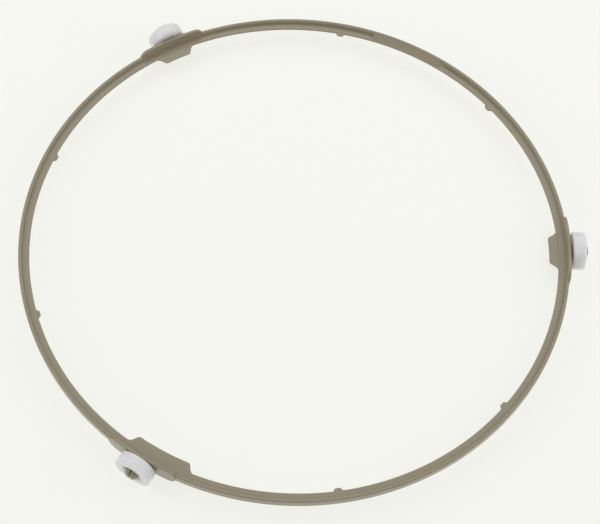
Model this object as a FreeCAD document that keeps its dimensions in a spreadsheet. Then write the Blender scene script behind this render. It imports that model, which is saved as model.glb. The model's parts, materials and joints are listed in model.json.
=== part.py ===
import FreeCAD, Part
import os

import Sketcher
from FreeCAD import Placement, Rotation, Vector

# Microwave roller ring: one moulded ring that carries three loose rollers on its own snap axles.
# Frame: origin on the ring's axis at the oven floor, +Z up, first roller on +X.

# Driving dimensions in millimetres and degrees: alias, value, meaning.
SIZES = (
    ("ring_diameter", 220.0, "outside of the ring's upright wall"),
    ("wall_thickness", 1.15, "thickness of the upright wall"),
    ("wall_height", 3.9, "height of the upright wall, half above and half below the axles"),
    ("edge_bevel", 0.3, "bevel of the wall's and the flange's edges"),
    ("flange_width", 3.15, "reach of the flat flange inwards from the wall"),
    ("flange_thickness", 0.9, "thickness of the flange"),
    ("flange_rise", 0.15, "height of the flange's top above the axles"),
    ("fill_angle", 64.4, "middle of the stretch where wall and flange are filled to a slope"),
    ("fill_span", 15.8, "angle that the filled stretch covers"),
    ("fill_land", 0.25, "flat of the flange left at the foot of the slope"),
    ("plate_length", 30.0, "length of the taller, curved plate in the wall behind each roller"),
    ("plate_thickness", 1.3, "thickness of that plate"),
    ("plate_proud", 0.3, "how far the plate stands out of the wall"),
    ("plate_rise", 2.15, "height of the plate above and below the wall"),
    ("plate_corner_radius", 3.8, "rounding of the plate's corners"),
    ("tab_reach", 3.5, "reach of the tab inwards from the flange"),
    ("tab_length", 11.2, "length of the tab's inner edge"),
    ("tab_base_length", 15.7, "length of the tab where it leaves the flange"),
    ("tab_drop", 0.2, "step from the flange's top down to the tab"),
    ("tab_blend_radius", 3.0, "hollow rounding between tab and flange"),
    ("tab_corner_radius", 1.3, "rounding of a tab's inner corners"),
    ("long_tab_extra", 10.5, "extra length of the one longer tab"),
    ("nub_reach", 1.15, "reach of an ejector nub inwards from the flange"),
    ("nub_length", 1.9, "length of a nub's inner edge"),
    ("nub_base_length", 3.8, "length of a nub where it leaves the flange"),
    ("nub_corner_radius", 0.4, "rounding of a nub's inner corners"),
    ("shoulder_diameter", 6.6, "collar that keeps the roller off the plate"),
    ("shoulder_length", 0.45, "length of that collar"),
    ("axle_diameter", 4.6, "running diameter of the axle"),
    ("head_diameter", 5.5, "widest part of the axle's snap head"),
    ("head_land", 2.3, "straight part of the snap head"),
    ("tip_diameter", 3.6, "end of the snap head's cone"),
    ("tip_radius", 0.5, "rounding of that end"),
    ("tip_reach", 1.5, "reach of the snap head out of the roller"),
    ("slot_width", 1.5, "split that lets the snap head close"),
    ("slot_floor", 0.6, "solid axle left between the collar and the split"),
    ("roller_diameter", 15.0, "tread of a roller"),
    ("roller_width", 4.9, "width of a roller"),
    ("roller_edge_bevel", 0.3, "bevel of the tread's edges"),
    ("running_clearance", 0.08, "radial clearance between axle and bore"),
    ("end_float", 0.3, "free play of the roller at each end of the axle"),
    ("recess_diameter", 8.0, "recess in the roller's outer face that hides the snap head"),
    ("recess_depth", 2.4, "depth of that recess"),
    ("recess_edge_bevel", 0.25, "bevel of the recess's rim"),
    ("lead_in", 0.4, "chamfer where the bore meets the roller's inner face"),
)

ROLLER_NAMES = ("roller_right", "roller_back_left", "roller_front_left")
ROLLER_STEP = 360 / len(ROLLER_NAMES)
LONG_TAB_AT = ROLLER_NAMES.index("roller_front_left") * ROLLER_STEP
NUBS_PER_ROLLER = 3

# Formulas in the sheet's aliases. Radii are measured from the ring's axis, heights from the floor.
RING_RADIUS = "sizes.ring_diameter / 2"
WALL_INNER = f"({RING_RADIUS} - sizes.wall_thickness)"
WALL_MIDDLE = f"({RING_RADIUS} - sizes.wall_thickness / 2)"
FLANGE_INNER = f"({WALL_INNER} - sizes.flange_width)"
TAB_INNER = f"({FLANGE_INNER} - sizes.tab_reach)"
NUB_INNER = f"({FLANGE_INNER} - sizes.nub_reach)"
AXLE_HEIGHT = "sizes.roller_diameter / 2"
WALL_TOP = f"({AXLE_HEIGHT} + sizes.wall_height / 2)"
WALL_BOTTOM = f"({AXLE_HEIGHT} - sizes.wall_height / 2)"
FLANGE_TOP = f"({AXLE_HEIGHT} + sizes.flange_rise)"
FLANGE_MIDDLE = f"({FLANGE_TOP} - sizes.flange_thickness / 2)"
FLANGE_BOTTOM = f"({FLANGE_TOP} - sizes.flange_thickness)"
TAB_THICKNESS = "sizes.flange_thickness - sizes.tab_drop"
PLATE_FACE = f"({RING_RADIUS} + sizes.plate_proud)"
PLATE_INNER = f"({PLATE_FACE} - sizes.plate_thickness)"
PLATE_TOP = f"({WALL_TOP} + sizes.plate_rise)"
PLATE_BOTTOM = f"({WALL_BOTTOM} - sizes.plate_rise)"
SHOULDER_END = f"({PLATE_FACE} + sizes.shoulder_length)"
ROLLER_INNER = f"({SHOULDER_END} + sizes.end_float)"
ROLLER_OUTER = f"({ROLLER_INNER} + sizes.roller_width)"
HEAD_START = f"({ROLLER_OUTER} - sizes.recess_depth + sizes.end_float)"
AXLE_TIP = f"({ROLLER_OUTER} + sizes.tip_reach)"
BORE_RADIUS = "(sizes.axle_diameter / 2 + sizes.running_clearance)"
RECESS_FLOOR = "(sizes.roller_width - sizes.recess_depth)"


def make_sheet(document):
    """Write the driving dimensions to a sheet, one row each: meaning, value with its alias."""
    sheet = document.addObject("Spreadsheet::Sheet", "sizes")
    for row, (alias, value, meaning) in enumerate(SIZES, start=1):
        sheet.set(f"A{row}", meaning)
        sheet.set(f"B{row}", str(value))
        sheet.setAlias(f"B{row}", alias)
    document.recompute()
    return sheet


def origin_feature(body, role):
    """Give the body's own origin plane or axis with this role."""
    for feature in body.Origin.OriginFeatures:
        if feature.Role == role:
            return feature
    raise LookupError(role)


def make_sketch(body, name, plane, offset=None, turn_axis=None, turn=None):
    """Attach a sketch to an origin plane, lifted by a formula or turned about one of its own axes."""
    sketch = body.newObject("Sketcher::SketchObject", name)
    sketch.AttachmentSupport = [(origin_feature(body, plane), "")]
    sketch.MapMode = "FlatFace"
    if turn_axis is not None:
        sketch.AttachmentOffset = Placement(Vector(), Rotation(turn_axis, 1.0))
        sketch.setExpression("AttachmentOffset.Rotation.Angle", f"{turn} * 1 deg")
    if offset is not None:
        sketch.setExpression("AttachmentOffset.Base.z", offset)
    body.Document.recompute()
    return sketch


def bind_constraint(sketch, kind, references, formula):
    """Add a constraint whose value follows a formula."""
    value = float(sketch.evalExpression(formula))
    index = sketch.addConstraint(Sketcher.Constraint(kind, *references, value))
    sketch.setExpression(f"Constraints[{index}]", formula)


def draw_outline(sketch, corners, arcs=None, roundings=None):
    """Draw a closed outline with a corner at each pair of formulas.

    corners: (x, y) formulas in order round the outline.
    arcs: radius formula by the number of the side that bulges towards the sketch's vertical axis.
    roundings: radius formula by the number of the corner that is rounded.
    """
    arcs = arcs or {}
    roundings = roundings or {}
    points = [Vector(*(float(sketch.evalExpression(axis)) for axis in corner), 0) for corner in corners]
    count = len(points)
    for side, start in enumerate(points):
        end = points[(side + 1) % count]
        if side in arcs:
            radius = float(sketch.evalExpression(arcs[side]))
            low, high = sorted((start, end), key=lambda point: point.y)
            circle = Part.Circle(Vector(), Vector(0, 0, 1), radius)
            sketch.addGeometry(Part.ArcOfCircle(circle, circle.parameter(low), circle.parameter(high)))
        else:
            sketch.addGeometry(Part.LineSegment(start, end))
    # A line starts at its own corner; an arc runs anticlockwise, so its start is the lower corner.
    ends = []
    for side, start in enumerate(points):
        rising = side not in arcs or start.y < points[(side + 1) % count].y
        ends.append((1, 2) if rising else (2, 1))
    for side in range(count):
        following = (side + 1) % count
        sketch.addConstraint(
            Sketcher.Constraint("Coincident", side, ends[side][1], following, ends[following][0]))
    for side, (x_formula, y_formula) in enumerate(corners):
        bind_constraint(sketch, "DistanceX", (-1, 1, side, ends[side][0]), x_formula)
        bind_constraint(sketch, "DistanceY", (-1, 1, side, ends[side][0]), y_formula)
    for side, formula in arcs.items():
        bind_constraint(sketch, "Radius", (side,), formula)
    for corner, formula in roundings.items():
        radius = float(sketch.evalExpression(formula))
        sketch.fillet((corner - 1) % count, corner, points[(corner - 1) % count], points[(corner + 1) % count],
                      radius, True, True)
        arc = max(index for index, item in enumerate(sketch.Geometry) if isinstance(item, Part.ArcOfCircle))
        bind_constraint(sketch, "Radius", (arc,), formula)
    sketch.Document.recompute()


def add_pad(body, name, sketch, length):
    """Pad a sketch along its own normal."""
    pad = body.newObject("PartDesign::Pad", name)
    pad.Profile = sketch
    pad.setExpression("Length", length)
    return pad


def add_revolution(body, name, sketch, axis, span=None):
    """Turn a sketch about one of its axes, all the way or centred over a span of degrees."""
    revolution = body.newObject("PartDesign::Revolution", name)
    revolution.Profile = sketch
    revolution.ReferenceAxis = (sketch, [axis])
    revolution.Angle = 360
    if span is not None:
        revolution.Midplane = True
        revolution.setExpression("Angle", span)
    return revolution


def add_turning(body, name, inner, outer):
    """Cut away everything between two radii, over more than a plate's height."""
    sketch = make_sketch(body, f"{name}_section", "XZ_Plane")
    low = f"{PLATE_BOTTOM} - sizes.plate_rise"
    high = f"{PLATE_TOP} + sizes.plate_rise"
    draw_outline(sketch, [(inner, low), (outer, low), (outer, high), (inner, high)])
    groove = body.newObject("PartDesign::Groove", name)
    groove.Profile = sketch
    groove.ReferenceAxis = (sketch, ["V_Axis"])
    groove.Angle = 360
    return groove


def add_pattern(body, name, originals, occurrences):
    """Repeat features evenly about the ring's axis."""
    pattern = body.newObject("PartDesign::PolarPattern", name)
    pattern.Originals = originals
    pattern.Axis = (origin_feature(body, "Z_Axis"), [""])
    pattern.Angle = 360
    pattern.Occurrences = occurrences
    body.Tip = pattern
    return pattern


def bevel(x, y, along_x, along_y, size):
    """Give the two corners that replace a square one, first on its upright side, then on its level side."""
    return [(x, f"{y} + {along_y} * sizes.{size}"), (f"{x} + {along_x} * sizes.{size}", y)]


def along_arc(radius, across):
    """Formula for the distance from the ring's axis to a point of a circle that lies off to one side."""
    return f"sqrt(({radius})^2 - ({across})^2)"


def tab_end(flat_end, side):
    """Corners of one end of a tab, from its inner edge to its root inside the flange."""
    base_end = f"({flat_end} + (sizes.tab_base_length - sizes.tab_length) / 2)"
    root_end = f"({base_end} + sizes.tab_blend_radius)"
    return [
        (along_arc(TAB_INNER, flat_end), f"{side} * {flat_end}"),
        (along_arc(FLANGE_INNER, base_end), f"{side} * {base_end}"),
        (along_arc(f"{FLANGE_INNER} + sizes.flange_thickness / 2", root_end), f"{side} * {root_end}"),
        (along_arc(WALL_INNER, root_end), f"{side} * {root_end}"),
    ]


def add_section(body):
    """Turn the ring's section: an upright wall with a flat flange inside it."""
    sketch = make_sketch(body, "ring_section", "XZ_Plane")
    corners = [
        *reversed(bevel(RING_RADIUS, WALL_BOTTOM, -1, 1, "edge_bevel")),
        *bevel(RING_RADIUS, WALL_TOP, -1, -1, "edge_bevel"),
        *reversed(bevel(WALL_INNER, WALL_TOP, 1, -1, "edge_bevel")),
        (WALL_INNER, FLANGE_TOP),
        *reversed(bevel(FLANGE_INNER, FLANGE_TOP, 1, -1, "edge_bevel")),
        *bevel(FLANGE_INNER, FLANGE_BOTTOM, 1, 1, "edge_bevel"),
        (WALL_INNER, FLANGE_BOTTOM),
        *bevel(WALL_INNER, WALL_BOTTOM, 1, 1, "edge_bevel"),
    ]
    draw_outline(sketch, corners)
    return add_revolution(body, "ring_band", sketch, "V_Axis")


def add_plates(body):
    """Pad a thick blank with a plate's outline, repeat it, and turn the blanks down to curved plates."""
    half = "sizes.plate_length / 2"
    blank_inner = f"({along_arc(PLATE_INNER, half)} - sizes.plate_thickness)"
    blank_outer = f"({PLATE_FACE} + sizes.plate_thickness)"
    sketch = make_sketch(body, "plate_outline", "YZ_Plane", offset=blank_inner)
    corners = [(half, PLATE_BOTTOM), (half, PLATE_TOP), (f"-{half}", PLATE_TOP), (f"-{half}", PLATE_BOTTOM)]
    rounded = {corner: "sizes.plate_corner_radius" for corner in range(len(corners))}
    draw_outline(sketch, corners, roundings=rounded)
    blank = add_pad(body, "plate_blank", sketch, f"{blank_outer} - {blank_inner}")
    add_pattern(body, "plate_blanks", [blank], len(ROLLER_NAMES))
    add_turning(body, "plate_inside", f"{blank_inner} - sizes.plate_thickness", PLATE_INNER)
    add_turning(body, "plate_outside", PLATE_FACE, f"{blank_outer} + sizes.plate_length")


def add_axle(body):
    """Turn the stub axle with its collar and snap head about the roller's axis."""
    sketch = make_sketch(body, "axle_profile", "XZ_Plane")
    root = f"{PLATE_FACE} - sizes.plate_thickness / 2"
    head_end = f"{HEAD_START} + sizes.head_land"
    corners = [(root, AXLE_HEIGHT)]
    for reach, diameter in (
        (root, "shoulder_diameter"),
        (SHOULDER_END, "shoulder_diameter"),
        (SHOULDER_END, "axle_diameter"),
        (HEAD_START, "axle_diameter"),
        (HEAD_START, "head_diameter"),
        (head_end, "head_diameter"),
        (AXLE_TIP, "tip_diameter"),
    ):
        corners.append((reach, f"{AXLE_HEIGHT} + sizes.{diameter} / 2"))
    tip_corner = len(corners) - 1
    corners.append((AXLE_TIP, AXLE_HEIGHT))
    axis_side = len(corners) - 1
    draw_outline(sketch, corners, roundings={tip_corner: "sizes.tip_radius"})
    middle_line = sketch.addGeometry(Part.LineSegment(Vector(0, 1, 0), Vector(1, 1, 0)), True)
    sketch.addConstraint(Sketcher.Constraint("Horizontal", middle_line))
    sketch.addConstraint(Sketcher.Constraint("PointOnObject", middle_line, 1, -2))
    sketch.addConstraint(Sketcher.Constraint("PointOnObject", middle_line, 2, axis_side))
    bind_constraint(sketch, "DistanceX", (-1, 1, middle_line, 2), RING_RADIUS)
    return add_revolution(body, "axle", sketch, "Axis0")


def add_slot(body):
    """Cut the upright split that lets the snap head close as a roller is pushed on."""
    sketch = make_sketch(body, "slot_outline", "XY_Plane", offset=AXLE_HEIGHT)
    half = "sizes.slot_width / 2"
    floor = f"{SHOULDER_END} + sizes.slot_floor"
    mouth = f"{AXLE_TIP} + sizes.slot_width"
    draw_outline(sketch, [(floor, f"-{half}"), (mouth, f"-{half}"), (mouth, half), (floor, half)])
    slot = body.newObject("PartDesign::Pocket", "slot")
    slot.Profile = sketch
    slot.SideType = "Symmetric"
    slot.setExpression("Length", "sizes.head_diameter + sizes.slot_width")
    return slot


def add_tab(body):
    """Pad the tab that reaches inwards from the flange opposite a roller."""
    sketch = make_sketch(body, "tab_outline", "XY_Plane", offset=FLANGE_BOTTOM)
    flat_end = "(sizes.tab_length / 2)"
    corners = tab_end(flat_end, "1") + tab_end(flat_end, "-1")[::-1]
    last = len(corners) - 1
    blends = {corner: "sizes.tab_blend_radius" for corner in (1, last - 1)}
    draw_outline(sketch, corners, arcs={last: TAB_INNER}, roundings=blends)
    return add_pad(body, "tab", sketch, TAB_THICKNESS)


def add_long_tab(body):
    """Pad the longer half of the one tab that runs further along the ring."""
    sketch = make_sketch(body, "long_tab_outline", "XY_Plane", offset=FLANGE_BOTTOM,
                         turn_axis=Vector(0, 0, 1), turn=LONG_TAB_AT)
    corners = tab_end("(sizes.tab_length / 2 + sizes.long_tab_extra)", "1")
    root_x = corners[-1][0]
    corners += [(root_x, "0"), (TAB_INNER, "0")]
    last = len(corners) - 1
    draw_outline(sketch, corners, arcs={last: TAB_INNER}, roundings={1: "sizes.tab_blend_radius"})
    return add_pad(body, "long_tab", sketch, TAB_THICKNESS)


def add_nub(body):
    """Pad one ejector nub; those that fall on a tab disappear in it."""
    sketch = make_sketch(body, "nub_outline", "XY_Plane", offset=FLANGE_BOTTOM)
    half = "sizes.nub_length / 2"
    base_half = "sizes.nub_base_length / 2"
    base = along_arc(FLANGE_INNER, base_half)
    root = f"{WALL_INNER} - sizes.flange_width / 2"
    corners = [
        (NUB_INNER, f"-{half}"),
        (base, f"-{base_half}"),
        (root, f"-{base_half}"),
        (root, base_half),
        (base, base_half),
        (NUB_INNER, half),
    ]
    draw_outline(sketch, corners)
    return add_pad(body, "nub", sketch, TAB_THICKNESS)


def add_fill(body):
    """Turn the slope that fills the corner between wall and flange over one short stretch."""
    sketch = make_sketch(body, "fill_section", "XZ_Plane", turn_axis=Vector(0, 1, 0), turn="sizes.fill_angle")
    slope_top = f"{WALL_TOP} - sizes.edge_bevel"
    slope_foot = f"{FLANGE_INNER} + sizes.edge_bevel + sizes.fill_land"
    corners = [
        (WALL_INNER, slope_top),
        (slope_foot, FLANGE_TOP),
        (slope_foot, FLANGE_MIDDLE),
        (WALL_MIDDLE, FLANGE_MIDDLE),
        (WALL_MIDDLE, slope_top),
    ]
    draw_outline(sketch, corners)
    return add_revolution(body, "fill", sketch, "V_Axis", span="sizes.fill_span")


def upright_edges(shape, distance):
    """Name the straight upright edges that stand at this distance from the ring's axis."""
    tolerance = 1e-4
    names = []
    for number, edge in enumerate(shape.Edges, start=1):
        first = edge.firstVertex().Point
        second = edge.lastVertex().Point
        leaning = (second - first).cross(Vector(0, 0, 1)).Length
        plan_distance = Vector(first.x, first.y, 0).Length
        if leaning < tolerance and abs(plan_distance - distance) < tolerance:
            names.append(f"Edge{number}")
    return names


def round_plan_corners(body, name, base, distance, radius):
    """Round the upright edges that stand at a distance from the ring's axis."""
    body.Document.recompute()
    sheet = body.Document.getObject("sizes")
    rounding = body.newObject("PartDesign::Fillet", name)
    rounding.Base = (base, upright_edges(base.Shape, float(sheet.evalExpression(distance))))
    rounding.setExpression("Radius", radius)
    return rounding


def make_ring(document):
    """Build the moulded ring with its plates, snap axles, tabs and nubs as one solid."""
    body = document.addObject("PartDesign::Body", "roller_ring")
    body.AllowCompound = True
    add_plates(body)
    add_section(body)
    seat_features = [add_axle(body), add_slot(body), add_tab(body)]
    add_pattern(body, "roller_seats", seat_features, len(ROLLER_NAMES))
    add_long_tab(body)
    add_pattern(body, "nubs", [add_nub(body)], len(ROLLER_NAMES) * NUBS_PER_ROLLER)
    fill = add_fill(body)
    tabs = round_plan_corners(body, "tab_corners", fill, TAB_INNER, "sizes.tab_corner_radius")
    nub_corner = f"sqrt({NUB_INNER}^2 + (sizes.nub_length / 2)^2)"
    body.Tip = round_plan_corners(body, "nub_corners", tabs, nub_corner, "sizes.nub_corner_radius")
    return body


def make_roller(document, name, angle):
    """Build one roller about its own X axis, inner face at its origin, and set it on its axle."""
    body = document.addObject("PartDesign::Body", name)
    sketch = make_sketch(body, f"{name}_profile", "XZ_Plane")
    tread = "sizes.roller_diameter / 2"
    recess = "sizes.recess_diameter / 2"
    corners = [
        *bevel("0", tread, 1, -1, "roller_edge_bevel"),
        *reversed(bevel("sizes.roller_width", tread, -1, -1, "roller_edge_bevel")),
        *bevel("sizes.roller_width", recess, -1, 1, "recess_edge_bevel"),
        (RECESS_FLOOR, recess),
        (RECESS_FLOOR, BORE_RADIUS),
        *reversed(bevel("0", BORE_RADIUS, 1, 1, "lead_in")),
    ]
    draw_outline(sketch, corners)
    body.Tip = add_revolution(body, f"{name}_solid", sketch, "H_Axis")
    body.Placement = Placement(Vector(), Rotation(Vector(0, 0, 1), angle))
    body.setExpression("Placement.Base.x", f"{ROLLER_INNER} * cos({angle} deg)")
    body.setExpression("Placement.Base.y", f"{ROLLER_INNER} * sin({angle} deg)")
    body.setExpression("Placement.Base.z", AXLE_HEIGHT)
    return body


def check_document(document, bodies):
    """Stop before anything is written if a feature failed or a solid is missing or broken."""
    for item in document.Objects:
        if "Invalid" in item.State or "Error" in item.State:
            raise RuntimeError(f"{item.Label} failed: {item.State}")
    for body in bodies:
        shape = body.Shape
        if shape.isNull() or not shape.isValid() or len(shape.Solids) != 1:
            raise RuntimeError(f"{body.Label} is not one valid solid")


def main():
    """Build the ring and its rollers, check them and write one file for each."""
    document = FreeCAD.newDocument("microwave_roller_ring")
    make_sheet(document)
    bodies = [make_ring(document)]
    for index, name in enumerate(ROLLER_NAMES):
        bodies.append(make_roller(document, name, index * ROLLER_STEP))
    document.recompute()
    check_document(document, bodies)
    os.makedirs("parts", exist_ok=True)
    for body in bodies:
        body.Shape.exportStep(f"parts/{body.Label}.step")
        box = body.Shape.BoundBox
        print(f"{body.Label}: {body.Shape.Volume:.1f} mm3, "
              f"x {box.XMin:.2f} to {box.XMax:.2f}, y {box.YMin:.2f} to {box.YMax:.2f}, "
              f"z {box.ZMin:.2f} to {box.ZMax:.2f}")


main()
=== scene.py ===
import json
import logging
import math
from dataclasses import dataclass
from enum import Enum
from typing import Any, Iterable, Optional, Union

import bmesh
import bpy
from mathutils import Matrix, Vector


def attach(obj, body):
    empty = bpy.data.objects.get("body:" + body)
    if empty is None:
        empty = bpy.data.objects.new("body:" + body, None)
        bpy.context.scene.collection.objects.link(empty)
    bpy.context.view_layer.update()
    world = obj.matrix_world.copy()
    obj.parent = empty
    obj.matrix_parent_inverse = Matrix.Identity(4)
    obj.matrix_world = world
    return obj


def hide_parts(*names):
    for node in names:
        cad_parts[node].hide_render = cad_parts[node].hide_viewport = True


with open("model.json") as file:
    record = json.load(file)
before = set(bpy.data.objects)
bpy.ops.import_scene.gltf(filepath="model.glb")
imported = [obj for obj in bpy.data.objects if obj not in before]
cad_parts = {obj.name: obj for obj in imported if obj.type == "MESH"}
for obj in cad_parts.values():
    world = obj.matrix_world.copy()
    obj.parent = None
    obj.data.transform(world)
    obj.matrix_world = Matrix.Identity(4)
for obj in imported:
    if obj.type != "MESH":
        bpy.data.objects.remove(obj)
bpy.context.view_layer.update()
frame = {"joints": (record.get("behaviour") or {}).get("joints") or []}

LOG = logging.getLogger("roller_ring")

MM = 0.001
# Points closer than the gap are one point, and points within the slack of a cut lie on it, in metres.
SEAM_GAP = 0.0004 * MM
CUT_SLACK = 1e-8
# Edges bent more than the first angle look crisp, and blade edges bent more than the second are rounded.
CREASE_ANGLE = math.radians(38)
EDGE_ANGLE = math.radians(50)
EDGE_STEPS = 3
PLASTIC_IOR = 1.49
NOISE_MIDDLE = 0.5

Triple = tuple[float, float, float]
# Two coordinates and the rounding of a corner, in millimetres.
Corner = tuple[float, float, float]
Number = Union[float, "Value"]


class Station(Enum):
    """The three places round the ring where a roller sits, by the name of the roller's body."""

    RIGHT = "roller_right"
    BACK_LEFT = "roller_back_left"
    FRONT_LEFT = "roller_front_left"

    @property
    def hinge(self) -> dict[str, Any]:
        """The hinge that the roller turns on."""
        return next(joint for joint in frame["joints"] if joint["child"] == self.value)

    @property
    def turn(self) -> Matrix:
        """Turn about the ring's axis that brings +X to this station."""
        x, y, _ = self.hinge["axis"]
        return Matrix.Rotation(math.atan2(y, x), 4, "Z")

    @property
    def axle_line(self) -> Matrix:
        """Move that lays a piece turned about +Z on this station's axle line."""
        height = self.hinge["pos_m"][2]
        return self.turn @ Matrix.Translation((0, 0, height)) @ Matrix.Rotation(math.pi / 2, 4, "Y")


class Slot(Enum):
    """The two plastics, each by a name."""

    RING = "ring_plastic"
    ROLLER = "roller_plastic"


class Value:
    """A node's output that can be used in sums like a plain number."""

    def __init__(self, pad: "NodePad", socket: Optional[bpy.types.NodeSocket]) -> None:
        """Keep the output socket, None on a node without one, and the pad its node lies on."""
        self.pad = pad
        self.socket = socket

    def _sum(self, operation: str, first: Number, second: Number) -> "Value":
        """Add a maths node for two operands and return its result."""
        return self.pad.node("ShaderNodeMath", {"operation": operation}, {0: first, 1: second})

    def __add__(self, other: Number) -> "Value":
        """This plus the other."""
        return self._sum("ADD", self, other)

    def __radd__(self, other: Number) -> "Value":
        """The other plus this."""
        return self._sum("ADD", other, self)

    def __sub__(self, other: Number) -> "Value":
        """This less the other."""
        return self._sum("SUBTRACT", self, other)

    def __rsub__(self, other: Number) -> "Value":
        """The other less this."""
        return self._sum("SUBTRACT", other, self)

    def __mul__(self, other: Number) -> "Value":
        """This times the other."""
        return self._sum("MULTIPLY", self, other)

    def __rmul__(self, other: Number) -> "Value":
        """The other times this."""
        return self._sum("MULTIPLY", other, self)

    def __truediv__(self, other: Number) -> "Value":
        """This over the other."""
        return self._sum("DIVIDE", self, other)

    def __rtruediv__(self, other: Number) -> "Value":
        """The other over this."""
        return self._sum("DIVIDE", other, self)

    def ease(self, low: float, high: float) -> "Value":
        """Run smoothly from 0 at one value to 1 at another.

        Args:
            low: Value that gives 0.
            high: Value that gives 1.

        Returns:
            The eased value, held between 0 and 1.
        """
        return self.pad.node(
            "ShaderNodeMapRange",
            {"interpolation_type": "SMOOTHSTEP"},
            {"Value": self, "From Min": low, "From Max": high},
        )


class NodePad:
    """A node tree being laid out, with one way to add a node."""

    def __init__(self, tree: bpy.types.NodeTree) -> None:
        """Start on a tree."""
        self.tree = tree

    def node(
        self,
        kind: str,
        settings: Optional[dict[str, Any]] = None,
        inputs: Optional[dict[Union[str, int], Any]] = None,
        output: Union[str, int] = 0,
    ) -> Value:
        """Add a node, settings first, then its sockets.

        Args:
            kind: Node type.
            settings: Node settings by name.
            inputs: Input sockets by name or number, each a plain value, a Value to link or a list of Values.
            output: Name or number of the output to return.

        Returns:
            The chosen output.
        """
        made = self.tree.nodes.new(kind)
        for name, setting in (settings or {}).items():
            setattr(made, name, setting)
        for name, given in (inputs or {}).items():
            for one in given if isinstance(given, list) else [given]:
                self._plug(made.inputs[name], one)
        return Value(self, made.outputs[output] if len(made.outputs) else None)

    def _plug(self, socket: bpy.types.NodeSocket, given: Any) -> None:
        """Link a Value to an input socket, or set a plain value on it.

        Args:
            socket: Input socket.
            given: What it gets.
        """
        if isinstance(given, Value):
            self.tree.links.new(given.socket, socket)
        else:
            socket.default_value = given

    def noise(self, place: Value, size: float, layers: float) -> Value:
        """Cloudy noise about as coarse as the given size.

        Args:
            place: Coordinates to read.
            size: Width of one patch in metres.
            layers: Number of finer layers.

        Returns:
            Noise between 0 and 1.
        """
        return self.node(
            "ShaderNodeTexNoise",
            None,
            {"Vector": place, "Scale": 1.0 / size, "Detail": layers},
        )

    def tint(self, colour: Triple, tone: Value) -> Value:
        """Scale a colour by a tone."""
        return self.node("ShaderNodeVectorMath", {"operation": "SCALE"}, {0: colour, "Scale": tone})

    def skin(self, sockets: dict[Union[str, int], Any]) -> None:
        """End a material with a surface that has the given socket values."""
        surface = self.node("ShaderNodeBsdfPrincipled", None, sockets)
        self.node("ShaderNodeOutputMaterial", None, {"Surface": surface})


def blank_material(name: str) -> tuple[bpy.types.Material, NodePad]:
    """Make a material with an empty tree.

    Args:
        name: Material name.

    Returns:
        The material and a pad on its tree.
    """
    made = bpy.data.materials.new(name)
    made.use_nodes = True
    made.node_tree.nodes.clear()
    return made, NodePad(made.node_tree)


@dataclass(frozen=True)
class RingPlastic:
    """Satin taupe plastic with a fine mould grain and slight unevenness of colour."""

    colour: Triple = (0.352, 0.302, 0.208)
    roughness: float = 0.20
    patch_size: float = 14 * MM
    patch_layers: float = 3.0
    patch_colour_drift: float = 0.07
    patch_roughness_drift: float = 0.08
    grain_size: float = 0.32 * MM
    grain_layers: float = 2.0
    grain_colour_drift: float = 0.035
    grain_depth: float = 0.012 * MM
    grain_strength: float = 0.5

    def make(self) -> bpy.types.Material:
        """Build the material.

        Returns:
            The ring's plastic.
        """
        made, pad = blank_material("taupe_satin_plastic")
        place = pad.node("ShaderNodeTexCoord", output="Object")
        patches = pad.noise(place, self.patch_size, self.patch_layers) - NOISE_MIDDLE
        grain = pad.noise(place, self.grain_size, self.grain_layers)
        speckle = (grain - NOISE_MIDDLE) * self.grain_colour_drift
        relief = pad.node(
            "ShaderNodeBump",
            None,
            {"Strength": self.grain_strength, "Distance": self.grain_depth, "Height": grain},
        )
        pad.skin(
            {
                "Base Color": pad.tint(self.colour, 1.0 + patches * self.patch_colour_drift + speckle),
                "Roughness": self.roughness + patches * self.patch_roughness_drift,
                "IOR": PLASTIC_IOR,
                "Normal": relief,
            }
        )
        return made


@dataclass(frozen=True)
class RollerPlastic:
    """Smooth, slightly translucent white plastic, duller and greyer where the tread is scuffed."""

    colour: Triple = (0.86, 0.86, 0.865)
    roughness: float = 0.36
    translucence: float = 0.85
    light_reach: float = 6.0 * MM
    light_spread: Triple = (1.0, 1.0, 0.9)
    scuff_size: float = 1.1 * MM
    scuff_layers: float = 4.0
    scuff_range: tuple[float, float] = (0.45, 0.75)
    scuff_tone: float = 0.94
    scuff_roughness: float = 0.50

    def make(self) -> bpy.types.Material:
        """Build the material.

        Returns:
            The rollers' plastic.
        """
        made, pad = blank_material("white_roller_plastic")
        place = pad.node("ShaderNodeTexCoord", output="Object")
        tread = pad.node("ShaderNodeAttribute", {"attribute_name": "tread"}, None, "Fac")
        scuffs = pad.noise(place, self.scuff_size, self.scuff_layers).ease(*self.scuff_range) * tread
        pad.skin(
            {
                "Base Color": pad.tint(self.colour, 1.0 - scuffs * (1.0 - self.scuff_tone)),
                "Roughness": self.roughness + scuffs * (self.scuff_roughness - self.roughness),
                "IOR": PLASTIC_IOR,
                "Subsurface Weight": self.translucence,
                "Subsurface Radius": self.light_spread,
                "Subsurface Scale": self.light_reach,
            }
        )
        return made


@dataclass(frozen=True)
class FloorPaper:
    """Pale backdrop paper, lit through so that shadows on it stay faint."""

    colour: Triple = (0.24, 0.24, 0.223)
    roughness: float = 0.9
    glow: Triple = (0.728, 0.731, 0.693)

    def make(self) -> bpy.types.Material:
        """Build the material.

        Returns:
            The floor's paper.
        """
        made, pad = blank_material("backdrop_paper")
        pad.skin(
            {
                "Base Color": (*self.colour, 1.0),
                "Roughness": self.roughness,
                "Emission Color": (*self.glow, 1.0),
                "Emission Strength": 1.0,
            }
        )
        return made


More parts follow.
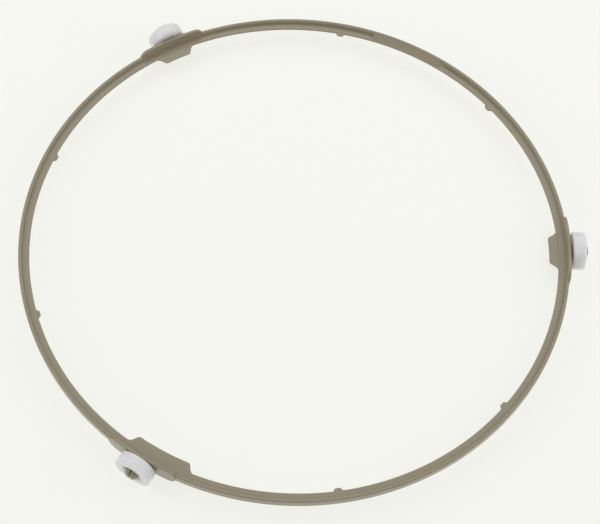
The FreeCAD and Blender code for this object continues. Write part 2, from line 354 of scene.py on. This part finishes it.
def shown(name: str, data: bpy.types.ID) -> bpy.types.Object:
    """Put an object into the scene.

    Args:
        name: Name of the object.
        data: Mesh, light or camera that it shows.

    Returns:
        The object, at the origin.
    """
    made = bpy.data.objects.new(name, data)
    bpy.context.scene.collection.objects.link(made)
    return made


def baked(piece: bpy.types.Object) -> bpy.types.Mesh:
    """Plain mesh of an object as its modifiers leave it.

    Args:
        piece: Object with modifiers.

    Returns:
        A new mesh.
    """
    bpy.context.view_layer.update()
    view = bpy.context.evaluated_depsgraph_get()
    return bpy.data.meshes.new_from_object(piece.evaluated_get(view), depsgraph=view)


def corner_mesh(corners: Iterable[Corner]) -> bpy.types.Mesh:
    """Closed line of corners, each with its rounding.

    Args:
        corners: Two coordinates and a rounding for each corner, in millimetres.

    Returns:
        Mesh of edges in the XY plane with a rounding attribute, in metres.
    """
    points = list(corners)
    mesh = bpy.data.meshes.new("corners")
    ends = [(index, (index + 1) % len(points)) for index in range(len(points))]
    mesh.from_pydata([(x * MM, y * MM, 0.0) for x, y, _ in points], ends, [])
    rounding = mesh.attributes.new("rounding", "FLOAT", "POINT")
    rounding.data.foreach_set("value", [size * MM for _, _, size in points])
    return mesh


def lofted(rows: list[list[Triple]]) -> bpy.types.Mesh:
    """Skin a row of closed sections and cap both ends.

    Args:
        rows: Sections with equal numbers of points, in millimetres.

    Returns:
        Closed mesh in metres.
    """
    count = len(rows[0])
    last = (len(rows) - 1) * count
    faces = [tuple(range(count)), tuple(range(last, last + count))]
    for start in range(0, last, count):
        for index in range(count):
            after = (index + 1) % count
            faces.append((start + index, start + after, start + count + after, start + count + index))
    mesh = bpy.data.meshes.new("loft")
    mesh.from_pydata([Vector(point) * MM for row in rows for point in row], [], faces)
    return mesh


def merged(meshes: Iterable[bpy.types.Mesh], name: str) -> bpy.types.Mesh:
    """Put meshes together, close seams and turn the faces outwards.

    Args:
        meshes: Meshes to put together.
        name: Name of the new mesh.

    Returns:
        One mesh.
    """
    work = bmesh.new()
    for mesh in meshes:
        work.from_mesh(mesh)
    bmesh.ops.remove_doubles(work, verts=work.verts, dist=SEAM_GAP)
    bmesh.ops.dissolve_degenerate(work, edges=work.edges, dist=SEAM_GAP)
    bmesh.ops.recalc_face_normals(work, faces=work.faces)
    made = bpy.data.meshes.new(name)
    work.to_mesh(made)
    work.free()
    return made


def sliced(mesh: bpy.types.Mesh, cuts: list[tuple[Triple, Triple]]) -> bpy.types.Mesh:
    """Cut a closed mesh with planes and close the cuts.

    Args:
        mesh: Closed mesh.
        cuts: A point on each plane and its direction; the side the direction points to is taken off.

    Returns:
        What is left, closed.
    """
    work = bmesh.new()
    work.from_mesh(mesh)
    for point, away in cuts:
        bmesh.ops.bisect_plane(
            work,
            geom=work.verts[:] + work.edges[:] + work.faces[:],
            dist=CUT_SLACK,
            plane_co=point,
            plane_no=away,
            clear_outer=True,
        )
        rim = [edge for edge in work.edges if edge.is_boundary]
        bmesh.ops.contextual_create(work, geom=rim)
    made = bpy.data.meshes.new("slice")
    work.to_mesh(made)
    work.free()
    return made


def moved(mesh: bpy.types.Mesh, place: Matrix) -> bpy.types.Mesh:
    """Copy a mesh and carry the copy to another place.

    Args:
        mesh: Mesh to copy.
        place: Where the copy goes.

    Returns:
        The copy.
    """
    made = mesh.copy()
    made.transform(place)
    return made


def on_circle(radius: float, across: float) -> tuple[float, float]:
    """Point on a circle about the ring's axis, beside +X, at a distance across it."""
    return math.sqrt(radius**2 - across**2), across


def evenly(start: float, end: float, steps: int) -> list[float]:
    """Values in even steps from a start up to an end that is left out."""
    return [start + (end - start) * step / steps for step in range(steps)]


def quarter(steps: int) -> list[float]:
    """Angles in even steps through a right angle, both ends among them."""
    return [math.radians(90 * step / steps) for step in range(steps + 1)]


class ShapeTree:
    """A geometry node tree with named inputs that shapes a mesh."""

    def __init__(self, name: str, inputs: dict[str, str]) -> None:
        """Start a tree.

        Args:
            name: Name of the tree.
            inputs: Socket type of each input between the mesh and the material, by name.
        """
        self.tree = bpy.data.node_groups.new(name, "GeometryNodeTree")
        self.pad = NodePad(self.tree)
        sockets = {"Mesh": "NodeSocketGeometry", **inputs, "Material": "NodeSocketMaterial"}
        for label, kind in sockets.items():
            self.tree.interface.new_socket(label, in_out="INPUT", socket_type=kind)
        self.tree.interface.new_socket("Mesh", in_out="OUTPUT", socket_type="NodeSocketGeometry")

    def given(self, name: str) -> Value:
        """An input of the tree by name."""
        return self.pad.node("NodeGroupInput", output=name)

    def rounded(self) -> Value:
        """Turn the corner mesh into a closed line, rounded at each corner as its attribute says.

        Returns:
            The line.
        """
        line = self.pad.node("GeometryNodeMeshToCurve", None, {"Mesh": self.given("Mesh")})
        size = self.pad.node("GeometryNodeInputNamedAttribute", {"data_type": "FLOAT"}, {"Name": "rounding"})
        return self.pad.node(
            "GeometryNodeFilletCurve",
            {"mode": "POLY"},
            {"Curve": line, "Count": self.given("Rounding Steps"), "Radius": size, "Limit Radius": True},
        )

    def close(self, shape: Value) -> None:
        """End the tree with real geometry in the given material.

        Args:
            shape: What the tree has made.
        """
        solid = self.pad.node("GeometryNodeRealizeInstances", None, {"Geometry": shape})
        dressed = self.pad.node(
            "GeometryNodeSetMaterial",
            None,
            {"Geometry": solid, "Material": self.given("Material")},
        )
        self.pad.node("NodeGroupOutput", None, {"Mesh": dressed})

    def shape(self, mesh: bpy.types.Mesh, values: dict[str, Any], edge: float = 0.0) -> bpy.types.Mesh:
        """Run a mesh through the tree.

        Args:
            mesh: Mesh that goes in.
            values: Value of each named input.
            edge: Size of the rounding put on sharp edges afterwards, in metres; 0 for none.

        Returns:
            The shaped mesh.
        """
        blank = shown("blank", mesh)
        step = blank.modifiers.new("shape", "NODES")
        step.node_group = self.tree
        for item in self.tree.interface.items_tree:
            if item.in_out == "INPUT" and item.name in values:
                step[item.identifier] = values[item.name]
        if edge:
            soften = blank.modifiers.new("edge", "BEVEL")
            soften.width = edge
            soften.segments = EDGE_STEPS
            soften.limit_method = "ANGLE"
            soften.angle_limit = EDGE_ANGLE
        made = baked(blank)
        bpy.data.objects.remove(blank)
        return made


class Trees:
    """The three shape trees: turned about an axis, cut flat from an outline, and repeated round the ring."""

    def __init__(self) -> None:
        """Build the trees."""
        self.turned = self._turned()
        self.blade = self._blade()
        self.repeat = self._repeat()

    @staticmethod
    def _turned() -> ShapeTree:
        """Carry a rounded profile round a circle.

        Returns:
            The tree.
        """
        tree = ShapeTree(
            "turned_profile",
            {
                "Path Radius": "NodeSocketFloat",
                "Segments": "NodeSocketInt",
                "Rounding Steps": "NodeSocketInt",
            },
        )
        path = tree.pad.node(
            "GeometryNodeCurvePrimitiveCircle",
            {"mode": "RADIUS"},
            {"Resolution": tree.given("Segments"), "Radius": tree.given("Path Radius")},
        )
        tree.close(
            tree.pad.node("GeometryNodeCurveToMesh", None, {"Curve": path, "Profile Curve": tree.rounded()})
        )
        return tree

    @staticmethod
    def _blade() -> ShapeTree:
        """Fill a rounded outline and give it thickness.

        Returns:
            The tree.
        """
        tree = ShapeTree(
            "flat_blade",
            {
                "Bottom": "NodeSocketFloat",
                "Thickness": "NodeSocketFloat",
                "Rounding Steps": "NodeSocketInt",
            },
        )
        pad = tree.pad
        sheet = pad.node("GeometryNodeFillCurve", {"mode": "NGONS"}, {"Curve": tree.rounded()})
        drop = pad.node("ShaderNodeCombineXYZ", None, {"Z": tree.given("Bottom")})
        lower = pad.node("GeometryNodeTransform", None, {"Geometry": sheet, "Translation": drop})
        rise = pad.node("ShaderNodeCombineXYZ", None, {"Z": tree.given("Thickness")})
        upper = pad.node(
            "GeometryNodeExtrudeMesh",
            {"mode": "FACES"},
            {"Mesh": lower, "Offset": rise, "Individual": False},
        )
        under = pad.node("GeometryNodeFlipFaces", None, {"Mesh": lower})
        both = pad.node("GeometryNodeJoinGeometry", None, {"Geometry": [upper, under]})
        tree.close(
            pad.node("GeometryNodeMergeByDistance", None, {"Geometry": both, "Distance": SEAM_GAP})
        )
        return tree

    @staticmethod
    def _repeat() -> ShapeTree:
        """Set copies of a mesh evenly round the ring's axis.

        Returns:
            The tree.
        """
        tree = ShapeTree("round_the_ring", {"Count": "NodeSocketInt"})
        pad = tree.pad
        spots = pad.node("GeometryNodePoints", None, {"Count": tree.given("Count")})
        angle = pad.node("GeometryNodeInputIndex") * (2.0 * math.pi) / tree.given("Count")
        turn = pad.node("ShaderNodeCombineXYZ", None, {"Z": angle})
        tree.close(
            pad.node(
                "GeometryNodeInstanceOnPoints",
                None,
                {"Points": spots, "Instance": tree.given("Mesh"), "Rotation": turn},
            )
        )
        return tree


@dataclass(frozen=True)
class Workbench:
    """Where plastic of one finish is shaped and made into pieces."""

    trees: Trees
    look: bpy.types.Material
    slot: Slot

    def turn(self, profile: Iterable[Corner], path: float, segments: int, steps: int) -> bpy.types.Mesh:
        """Turn a profile about the Z axis.

        Args:
            profile: Radius, height and rounding of each corner, in millimetres.
            path: Radius of the circle that carries the profile, in millimetres.
            segments: Number of steps round the circle.
            steps: Number of steps round each rounded corner.

        Returns:
            The turned mesh, closed.
        """
        # The circle carries a profile upside down, so heights are turned over first.
        line = corner_mesh((radius - path, -height, size) for radius, height, size in profile)
        values = {
            "Path Radius": path * MM,
            "Segments": segments,
            "Rounding Steps": steps,
            "Material": self.look,
        }
        return merged([self.trees.turned.shape(line, values)], "turned")

    def cut(
        self, outline: Iterable[Corner], low: float, high: float, edge: float, steps: int
    ) -> bpy.types.Mesh:
        """Cut a flat blade from an outline.

        Args:
            outline: Place and rounding of each corner, in millimetres.
            low: Height of its underside, in millimetres.
            high: Height of its top, in millimetres.
            edge: Rounding of its edges, in millimetres.
            steps: Number of steps round each rounded corner.

        Returns:
            The blade.
        """
        values = {
            "Bottom": low * MM,
            "Thickness": (high - low) * MM,
            "Rounding Steps": steps,
            "Material": self.look,
        }
        return self.trees.blade.shape(corner_mesh(outline), values, edge * MM)

    def around(self, mesh: bpy.types.Mesh, count: int) -> bpy.types.Mesh:
        """Set copies of a mesh evenly round the ring's axis."""
        return self.trees.repeat.shape(mesh, {"Count": count, "Material": self.look})

    def finish(self, mesh: bpy.types.Mesh, name: str, body: str, stands_for: str) -> bpy.types.Object:
        """Turn a closed mesh into a finished piece of the object.

        Args:
            mesh: Closed mesh in its place.
            name: Name of the piece.
            body: Body that it moves with.
            stands_for: Solid that it is drawn for.

        Returns:
            The piece.
        """
        piece = shown(name, mesh)
        mesh.polygons.foreach_set("use_smooth", [True] * len(mesh.polygons))
        mesh.set_sharp_from_angle(angle=CREASE_ANGLE)
        even = piece.modifiers.new("even_shading", "WEIGHTED_NORMAL")
        even.keep_sharp = True
        piece.data = baked(piece)
        piece.data.name = name
        piece.modifiers.clear()
        piece.data.materials.clear()
        piece.data.materials.append(self.look)
        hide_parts(stands_for)
        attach(piece, body)
        return piece


@dataclass(frozen=True)
class Band:
    """The T-section band: an upright wall with a flat flange inside it (mm)."""

    bench: Workbench
    outer: float = 109.96
    wall_inner: float = 108.75
    # The wall's inner face leans in to this radius at the flange.
    wall_foot: float = 108.35
    wall_low: float = 5.55
    wall_high: float = 9.45
    flange_inner: float = 105.7
    flange_low: float = 6.75
    flange_high: float = 7.65
    edge_round: float = 0.34
    rim_round: float = 0.5
    root_round: float = 0.3
    segments: int = 360
    round_steps: int = 5

    def build(self) -> bpy.types.Mesh:
        """Carry the section round the ring.

        Returns:
            The band.
        """
        section = (
            (self.outer, self.wall_low, self.edge_round),
            (self.outer, self.wall_high, self.rim_round),
            (self.wall_inner, self.wall_high, self.rim_round),
            (self.wall_foot, self.flange_high, self.root_round),
            (self.flange_inner, self.flange_high, self.edge_round),
            (self.flange_inner, self.flange_low, self.edge_round),
            (self.wall_foot, self.flange_low, self.root_round),
            (self.wall_inner, self.wall_low, self.edge_round),
        )
        return self.bench.turn(section, self.outer, self.segments, self.round_steps)


@dataclass(frozen=True)
class Plate:
    """The taller curved plate that backs one roller, with rounded corners and edges (mm)."""

    inner: float = 109.0
    face: float = 110.3
    low: float = 3.4
    high: float = 11.6
    half: float = 15.0
    corner: float = 3.8
    edge_round: float = 0.3
    # Most of the half height that the rounding takes where the plate runs out.
    edge_share: float = 0.9
    straight_steps: int = 10
    corner_steps: int = 10
    edge_steps: int = 4

    def build(self) -> bpy.types.Mesh:
        """Skin the plate from one end to the other.

        Returns:
            The plate at the right station.
        """
        straight = self.half - self.corner
        spots = evenly(0.0, straight, self.straight_steps)
        spots += [straight + self.corner * math.sin(angle) for angle in quarter(self.corner_steps)]
        mirrored = [-spot for spot in reversed(spots[1:])]
        return lofted([self._row(spot) for spot in mirrored + spots])

    def _row(self, spot: float) -> list[Triple]:
        """One upright section of the plate.

        Args:
            spot: Distance along the plate from its middle.

        Returns:
            Points once round the section.
        """
        past = max(0.0, abs(spot) - self.half + self.corner)
        cut = self.corner - math.sqrt(max(0.0, self.corner**2 - past**2))
        middle = (self.low + self.high) / 2
        tall = (self.high - self.low) / 2 - cut
        edge = min(self.edge_round, tall * self.edge_share)
        corners = (
            (self.face - edge, middle + (tall - edge)),
            (self.inner + edge, middle + (tall - edge)),
            (self.inner + edge, middle - (tall - edge)),
            (self.face - edge, middle - (tall - edge)),
        )
        row = []
        for index, (radius, height) in enumerate(corners):
            for angle in quarter(self.edge_steps):
                turn = index * math.pi / 2 + angle
                point = on_circle(radius + edge * math.cos(turn), spot)
                row.append((*point, height + edge * math.sin(turn)))
        return row


@dataclass(frozen=True)
class SnapAxle:
    """A stub axle with a collar behind its roller and a split snap head in front of it (mm)."""

    bench: Workbench
    plate: Plate
    # How far the root reaches into the plate.
    sink: float = 0.65
    collar_radius: float = 3.3
    collar_end: float = 110.75
    collar_round: float = 0.15
    radius: float = 2.3
    neck_round: float = 0.1
    head_start: float = 113.85
    head_slope: float = 0.05
    head_end: float = 116.15
    head_radius: float = 2.75
    head_round: float = 0.15
    tip_end: float = 117.44
    tip_radius: float = 1.8
    tip_round: float = 0.5
    split_floor: float = 111.35
    split_half: float = 0.40
    # How far the prongs reach into the stump under the split.
    prong_sink: float = 0.05
    segments: int = 64
    round_steps: int = 4

    def build(self) -> bpy.types.Mesh:
        """Turn the axle, split its head and lay it on its line.

        Returns:
            The axle at the right station.
        """
        root = self.plate.face - self.sink
        profile = (
            (0.0, root, 0.0),
            (self.collar_radius, root, 0.0),
            (self.collar_radius, self.collar_end, self.collar_round),
            (self.radius, self.collar_end, self.neck_round),
            (self.radius, self.head_start, self.neck_round),
            (self.head_radius, self.head_start + self.head_slope, self.head_round),
            (self.head_radius, self.head_end, self.tip_round),
            (self.tip_radius, self.tip_end, self.tip_round),
            (0.0, self.tip_end, 0.0),
        )
        whole = self.bench.turn(profile, self.radius, self.segments, self.round_steps)
        stump = sliced(whole, [((0, 0, self.split_floor * MM), (0, 0, 1))])
        prong_root = ((0, 0, (self.split_floor - self.prong_sink) * MM), (0, 0, -1))
        prongs = [
            sliced(whole, [prong_root, ((0, side * self.split_half * MM, 0), (0, -side, 0))])
            for side in (1, -1)
        ]
        return moved(merged([stump, *prongs], "axle"), Station.RIGHT.axle_line)


@dataclass(frozen=True)
class FlangeBlade:
    """A flat blade that reaches in from the flange, a little thinner than it (mm)."""

    bench: Workbench
    band: Band
    low: float = 6.78
    high: float = 7.5
    edge_round: float = 0.16
    round_steps: int = 6

    def cut(self, outline: list[Corner]) -> bpy.types.Mesh:
        """Cut the blade from its outline."""
        return self.bench.cut(outline, self.low, self.high, self.edge_round, self.round_steps)


@dataclass(frozen=True)
class Tab(FlangeBlade):
    """One tab at a roller, tapered towards its inner edge and blended into the flange (mm)."""

    inner: float = 102.2
    half: float = 5.6
    # Extra length of the inner edge on its +Y side.
    longer: float = 0.0
    corner: float = 1.3
    flare: float = 2.25
    blend: float = 3.0
    # How far past the flange's inner edge the root's corners lie, and how far its back stays off the wall.
    lap: float = 0.45
    wall_gap: float = 0.4
    arc_steps: int = 12

    def build(self) -> bpy.types.Mesh:
        """Cut the tab from its outline.

        Returns:
            The tab at the right station.
        """
        far_half = self.half + self.longer
        far = self._side(far_half)
        near = [(x, -y, size) for x, y, size in self._side(self.half)]
        inner = self._arc(self.inner, -self.half, far_half)
        back = self._arc(self.band.wall_inner - self.wall_gap, far[-1][1], near[-1][1])
        return self.cut([*inner, *far, *back, *reversed(near)])

    def _side(self, half: float) -> list[Corner]:
        """One side of the outline, from the inner edge to the root.

        Args:
            half: Distance from the tab's middle to the end of its inner edge.

        Returns:
            Corners of the side.
        """
        flange = self.band.flange_inner
        base = half + self.flare
        root = base + self.blend
        return [
            (*on_circle(self.inner, half), self.corner),
            (*on_circle(flange, base), self.blend),
            (*on_circle(flange + self.lap, root), 0.0),
            (*on_circle(self.band.wall_inner - self.wall_gap, root), 0.0),
        ]

    def _arc(self, radius: float, start: float, end: float) -> list[Corner]:
        """Corners along an arc between two distances across, without its ends."""
        return [(*on_circle(radius, across), 0.0) for across in evenly(start, end, self.arc_steps)[1:]]


@dataclass(frozen=True)
class Nub(FlangeBlade):
    """One small nub on the flange's inner edge (mm)."""

    inner: float = 104.55
    half: float = 0.95
    corner: float = 0.4
    base: float = 1.9
    base_round: float = 0.6
    # How far past the flange's inner edge the root's corners and its back lie, and how far it spreads.
    lap: float = 0.3
    depth: float = 1.2
    spread: float = 0.8

    def build(self) -> bpy.types.Mesh:
        """Cut the nub from its outline.

        Returns:
            The nub on +X.
        """
        flange = self.band.flange_inner
        root = self.base + self.spread
        side = [
            (*on_circle(self.inner, self.half), self.corner),
            (*on_circle(flange, self.base), self.base_round),
            (*on_circle(flange + self.lap, root), 0.0),
            (*on_circle(flange + self.depth, root), 0.0),
        ]
        return self.cut(side + [(x, -y, size) for x, y, size in reversed(side)])


@dataclass(frozen=True)
class FilledStretch:
    """The stretch where a slope fills the corner between wall and flange (mm, angles in degrees)."""

    band: Band
    start: float = 52.6
    end: float = 72.6
    soft_run: float = 4.0
    short_run: float = 0.3
    foot: float = 106.25
    top: float = 9.15
    # Share of the full slope that is left at the two ends.
    least_share: float = 0.02
    # How far it reaches into the flange and the wall, and how high its lower edge stands on the flange.
    sink: float = 0.05
    wall_lap: float = 0.3
    lip: float = 0.02
    soft_steps: int = 12
    plain_steps: int = 10
    short_steps: int = 6

    def build(self) -> bpy.types.Mesh:
        """Skin the stretch from its soft end to its short end.

        Returns:
            The stretch.
        """
        soft_end = self.start + self.soft_run
        plain_end = self.end - self.short_run
        angles = evenly(self.start, soft_end, self.soft_steps)
        angles += evenly(soft_end, plain_end, self.plain_steps)
        angles += evenly(plain_end, self.end, self.short_steps)
        return lofted([self._row(angle) for angle in [*angles, self.end]])

    def _row(self, angle: float) -> list[Triple]:
        """One section of the stretch.

        Args:
            angle: Where it lies round the ring.

        Returns:
            Points once round the section.
        """
        soft = min(1.0, (angle - self.start) / self.soft_run)
        short = min(1.0, (self.end - angle) / self.short_run)
        full = max(self.least_share, soft * soft * (3 - 2 * soft) * short)
        wall = self.band.wall_inner
        flange = self.band.flange_high
        foot = wall - (wall - self.foot) * full
        top = flange + (self.top - flange) * full
        section = (
            (foot, flange - self.sink),
            (foot, flange + self.lip),
            (wall, top),
            (wall + self.wall_lap, top),
            (wall + self.wall_lap, flange - self.sink),
        )
        turn = math.radians(angle)
        return [(radius * math.cos(turn), radius * math.sin(turn), height) for radius, height in section]


@dataclass(frozen=True)
class RingMoulding:
    """The one-piece ring: band, roller seats, tabs, nubs and a filled stretch (mm, angles in degrees)."""

    bench: Workbench
    long_tab_extra: float = 10.5
    # Where the nubs lie between one roller and the next.
    nub_angles: tuple[float, float] = (40.0, 80.0)

    def build(self) -> bpy.types.Object:
        """Make every feature and join them into the moulding.

        Returns:
            The finished moulding.
        """
        band = Band(self.bench)
        features = [band.build(), self._seats(band), *self._tabs(band), FilledStretch(band).build()]
        return self.bench.finish(merged(features, "moulding"), "ring_moulding", "ring", "roller_ring")

    def _seats(self, band: Band) -> bpy.types.Mesh:
        """The three roller seats, each with its plate, its axle and the nubs that follow it.

        Args:
            band: Band that carries them.

        Returns:
            The seats in their places.
        """
        plate = Plate()
        nub = Nub(self.bench, band).build()
        nubs = [moved(nub, Matrix.Rotation(math.radians(angle), 4, "Z")) for angle in self.nub_angles]
        seat = merged([plate.build(), SnapAxle(self.bench, plate).build(), *nubs], "seat")
        return self.bench.around(seat, len(Station))

    def _tabs(self, band: Band) -> list[bpy.types.Mesh]:
        """The three tabs, of which the front left one is longer.

        Args:
            band: Band that carries them.

        Returns:
            The tabs in their places.
        """
        tabs = []
        for station in Station:
            longer = self.long_tab_extra if station is Station.FRONT_LEFT else 0.0
            tabs.append(moved(Tab(self.bench, band, longer=longer).build(), station.turn))
        return tabs


@dataclass(frozen=True)
class Roller:
    """One loose white roller with a recess in its outer face (mm)."""

    bench: Workbench
    station: Station
    inner_face: float = 111.05
    width: float = 4.9
    tread: float = 7.49
    tread_round: float = 0.36
    # Share of the tread's rounded edge that is scuffed with it.
    tread_share: float = 0.6
    recess: float = 4.0
    recess_floor: float = 2.5
    recess_round: float = 0.3
    floor_round: float = 0.25
    bore: float = 2.38
    bore_round: float = 0.1
    lead_in: float = 0.4
    segments: int = 128
    round_steps: int = 5

    def build(self) -> bpy.types.Object:
        """Turn the roller and set it on its axle.

        Returns:
            The finished roller.
        """
        outer_face = self.inner_face + self.width
        floor = self.inner_face + self.recess_floor
        profile = (
            (self.bore + self.lead_in, self.inner_face, self.bore_round),
            (self.tread, self.inner_face, self.tread_round),
            (self.tread, outer_face, self.tread_round),
            (self.recess, outer_face, self.recess_round),
            (self.recess, floor, self.floor_round),
            (self.bore, floor, self.bore_round),
            (self.bore, self.inner_face + self.lead_in, 0.0),
        )
        mesh = self.bench.turn(profile, self.bore, self.segments, self.round_steps)
        self._mark_tread(mesh)
        mesh.transform(self.station.axle_line)
        body = self.station.value
        return self.bench.finish(mesh, body + "_wheel", body, body)

    def _mark_tread(self, mesh: bpy.types.Mesh) -> None:
        """Note on each point whether it lies on the running surface.

        Args:
            mesh: Roller still standing on its axis.
        """
        limit = (self.tread - self.tread_round * self.tread_share) * MM
        flags = [1.0 if math.hypot(point.co.x, point.co.y) > limit else 0.0 for point in mesh.vertices]
        mesh.attributes.new("tread", "FLOAT", "POINT").data.foreach_set("value", flags)


@dataclass(frozen=True)
class SoftBox:
    """A wide soft light turned to the middle of the ring (m)."""

    name: str
    spot: Triple
    size: float
    glow: float
    colour: Triple = (0.985, 0.995, 1.0)

    def build(self) -> None:
        """Hang the light at its spot."""
        light = bpy.data.lights.new(self.name, "AREA")
        light.shape = "SQUARE"
        light.size = self.size
        light.energy = self.glow * math.pi * self.size**2
        light.color = self.colour
        spot = Vector(self.spot)
        facing = spot.to_track_quat("Z", "Y").to_matrix().to_4x4()
        shown(self.name, light).matrix_world = Matrix.Translation(spot) @ facing


@dataclass(frozen=True)
class Viewpoint:
    """Where the ring is looked at from (mm, angles in degrees)."""

    focal: float = 95.369
    sensor: float = 36.0
    lens_shift: tuple[float, float] = (0.1063, -0.11715)
    nearest: float = 10.0
    farthest: float = 20000.0
    aim_height: float = 7.65
    distance: float = 637.115
    elevation: float = 59.0722
    roll: float = -0.2239
    yaw: float = 1.9454
    aside: float = -23.0395
    upward: float = 19.7862

    def build(self) -> None:
        """Set up the camera, looking down on the ring from the front."""
        data = bpy.data.cameras.new("camera")
        data.sensor_fit = "HORIZONTAL"
        data.sensor_width = self.sensor
        data.lens = self.focal
        data.shift_x, data.shift_y = self.lens_shift
        data.clip_start = self.nearest * MM
        data.clip_end = self.farthest * MM
        camera = shown("camera", data)
        camera.matrix_world = self._pose()
        bpy.context.scene.camera = camera

    def _pose(self) -> Matrix:
        """Work out where the camera stands and how it is turned.

        Returns:
            The camera's place.
        """
        tilt = math.radians(self.elevation)
        lean = math.radians(self.roll)
        right = Vector((1, 0, 0))
        back = Vector((0, -math.cos(tilt), math.sin(tilt)))
        up = back.cross(right)
        across = right * math.cos(lean) - up * math.sin(lean)
        above = right * math.sin(lean) + up * math.cos(lean)
        facing = Matrix((across, above, back)).transposed().to_4x4()
        spot = (back * self.distance + right * self.aside + up * self.upward) * MM
        aim = Matrix.Translation((0, 0, self.aim_height * MM))
        turn = Matrix.Rotation(math.radians(self.yaw), 4, "Z")
        return aim @ turn @ Matrix.Translation(spot) @ facing


@dataclass(frozen=True)
class Studio:
    """Pale floor, even soft light and the camera (mm)."""

    paper: FloorPaper = FloorPaper()
    floor_half: float = 3000.0
    floor_drop: float = 0.02
    sky_colour: Triple = (1.0, 0.995, 0.98)
    sky_glow: float = 0.10
    boxes: tuple[SoftBox, ...] = (
        SoftBox("over_light", (0.2, 0.2, 1.15), 2.4, 0.40),
        SoftBox("left_light", (-1.2, 0.0, 0.8), 1.2, 1.50),
        SoftBox("right_light", (1.2, 0.0, 0.8), 1.2, 1.30),
        SoftBox("back_light", (0.0, 1.0, 1.2), 1.2, 1.04),
        SoftBox("front_light", (0.0, -1.2, 0.8), 1.2, 0.46),
    )
    viewpoint: Viewpoint = Viewpoint()

    def build(self) -> None:
        """Set up the floor, the light and the camera."""
        self._floor()
        self._sky()
        for box in self.boxes:
            box.build()
        self.viewpoint.build()
        bpy.context.scene.view_settings.view_transform = "Standard"

    def _floor(self) -> None:
        """Lay the paper just under the height the rollers stand on."""
        half = self.floor_half * MM
        height = -self.floor_drop * MM
        corners = [(x * half, y * half, height) for x, y in ((-1, -1), (1, -1), (1, 1), (-1, 1))]
        mesh = bpy.data.meshes.new("floor")
        mesh.from_pydata(corners, [], [(0, 1, 2, 3)])
        mesh.materials.append(self.paper.make())
        shown("floor", mesh)

    def _sky(self) -> None:
        """Even white surroundings."""
        world = bpy.data.worlds.new("surroundings")
        world.use_nodes = True
        world.node_tree.nodes.clear()
        pad = NodePad(world.node_tree)
        glow = pad.node(
            "ShaderNodeBackground",
            None,
            {"Color": (*self.sky_colour, 1.0), "Strength": self.sky_glow},
        )
        pad.node("ShaderNodeOutputWorld", None, {"Surface": glow})
        bpy.context.scene.world = world


def main() -> None:
    """Build the ring, its rollers and the studio, and report each piece's number of faces."""
    logging.basicConfig(level=logging.INFO, format="%(name)s %(message)s")
    trees = Trees()
    pieces = [RingMoulding(Workbench(trees, RingPlastic().make(), Slot.RING)).build()]
    roller_bench = Workbench(trees, RollerPlastic().make(), Slot.ROLLER)
    pieces += [Roller(roller_bench, station).build() for station in Station]
    for piece in pieces:
        LOG.info("%s: %d faces", piece.name, len(piece.data.polygons))
    Studio().build()


if __name__ == "__main__":
    main()
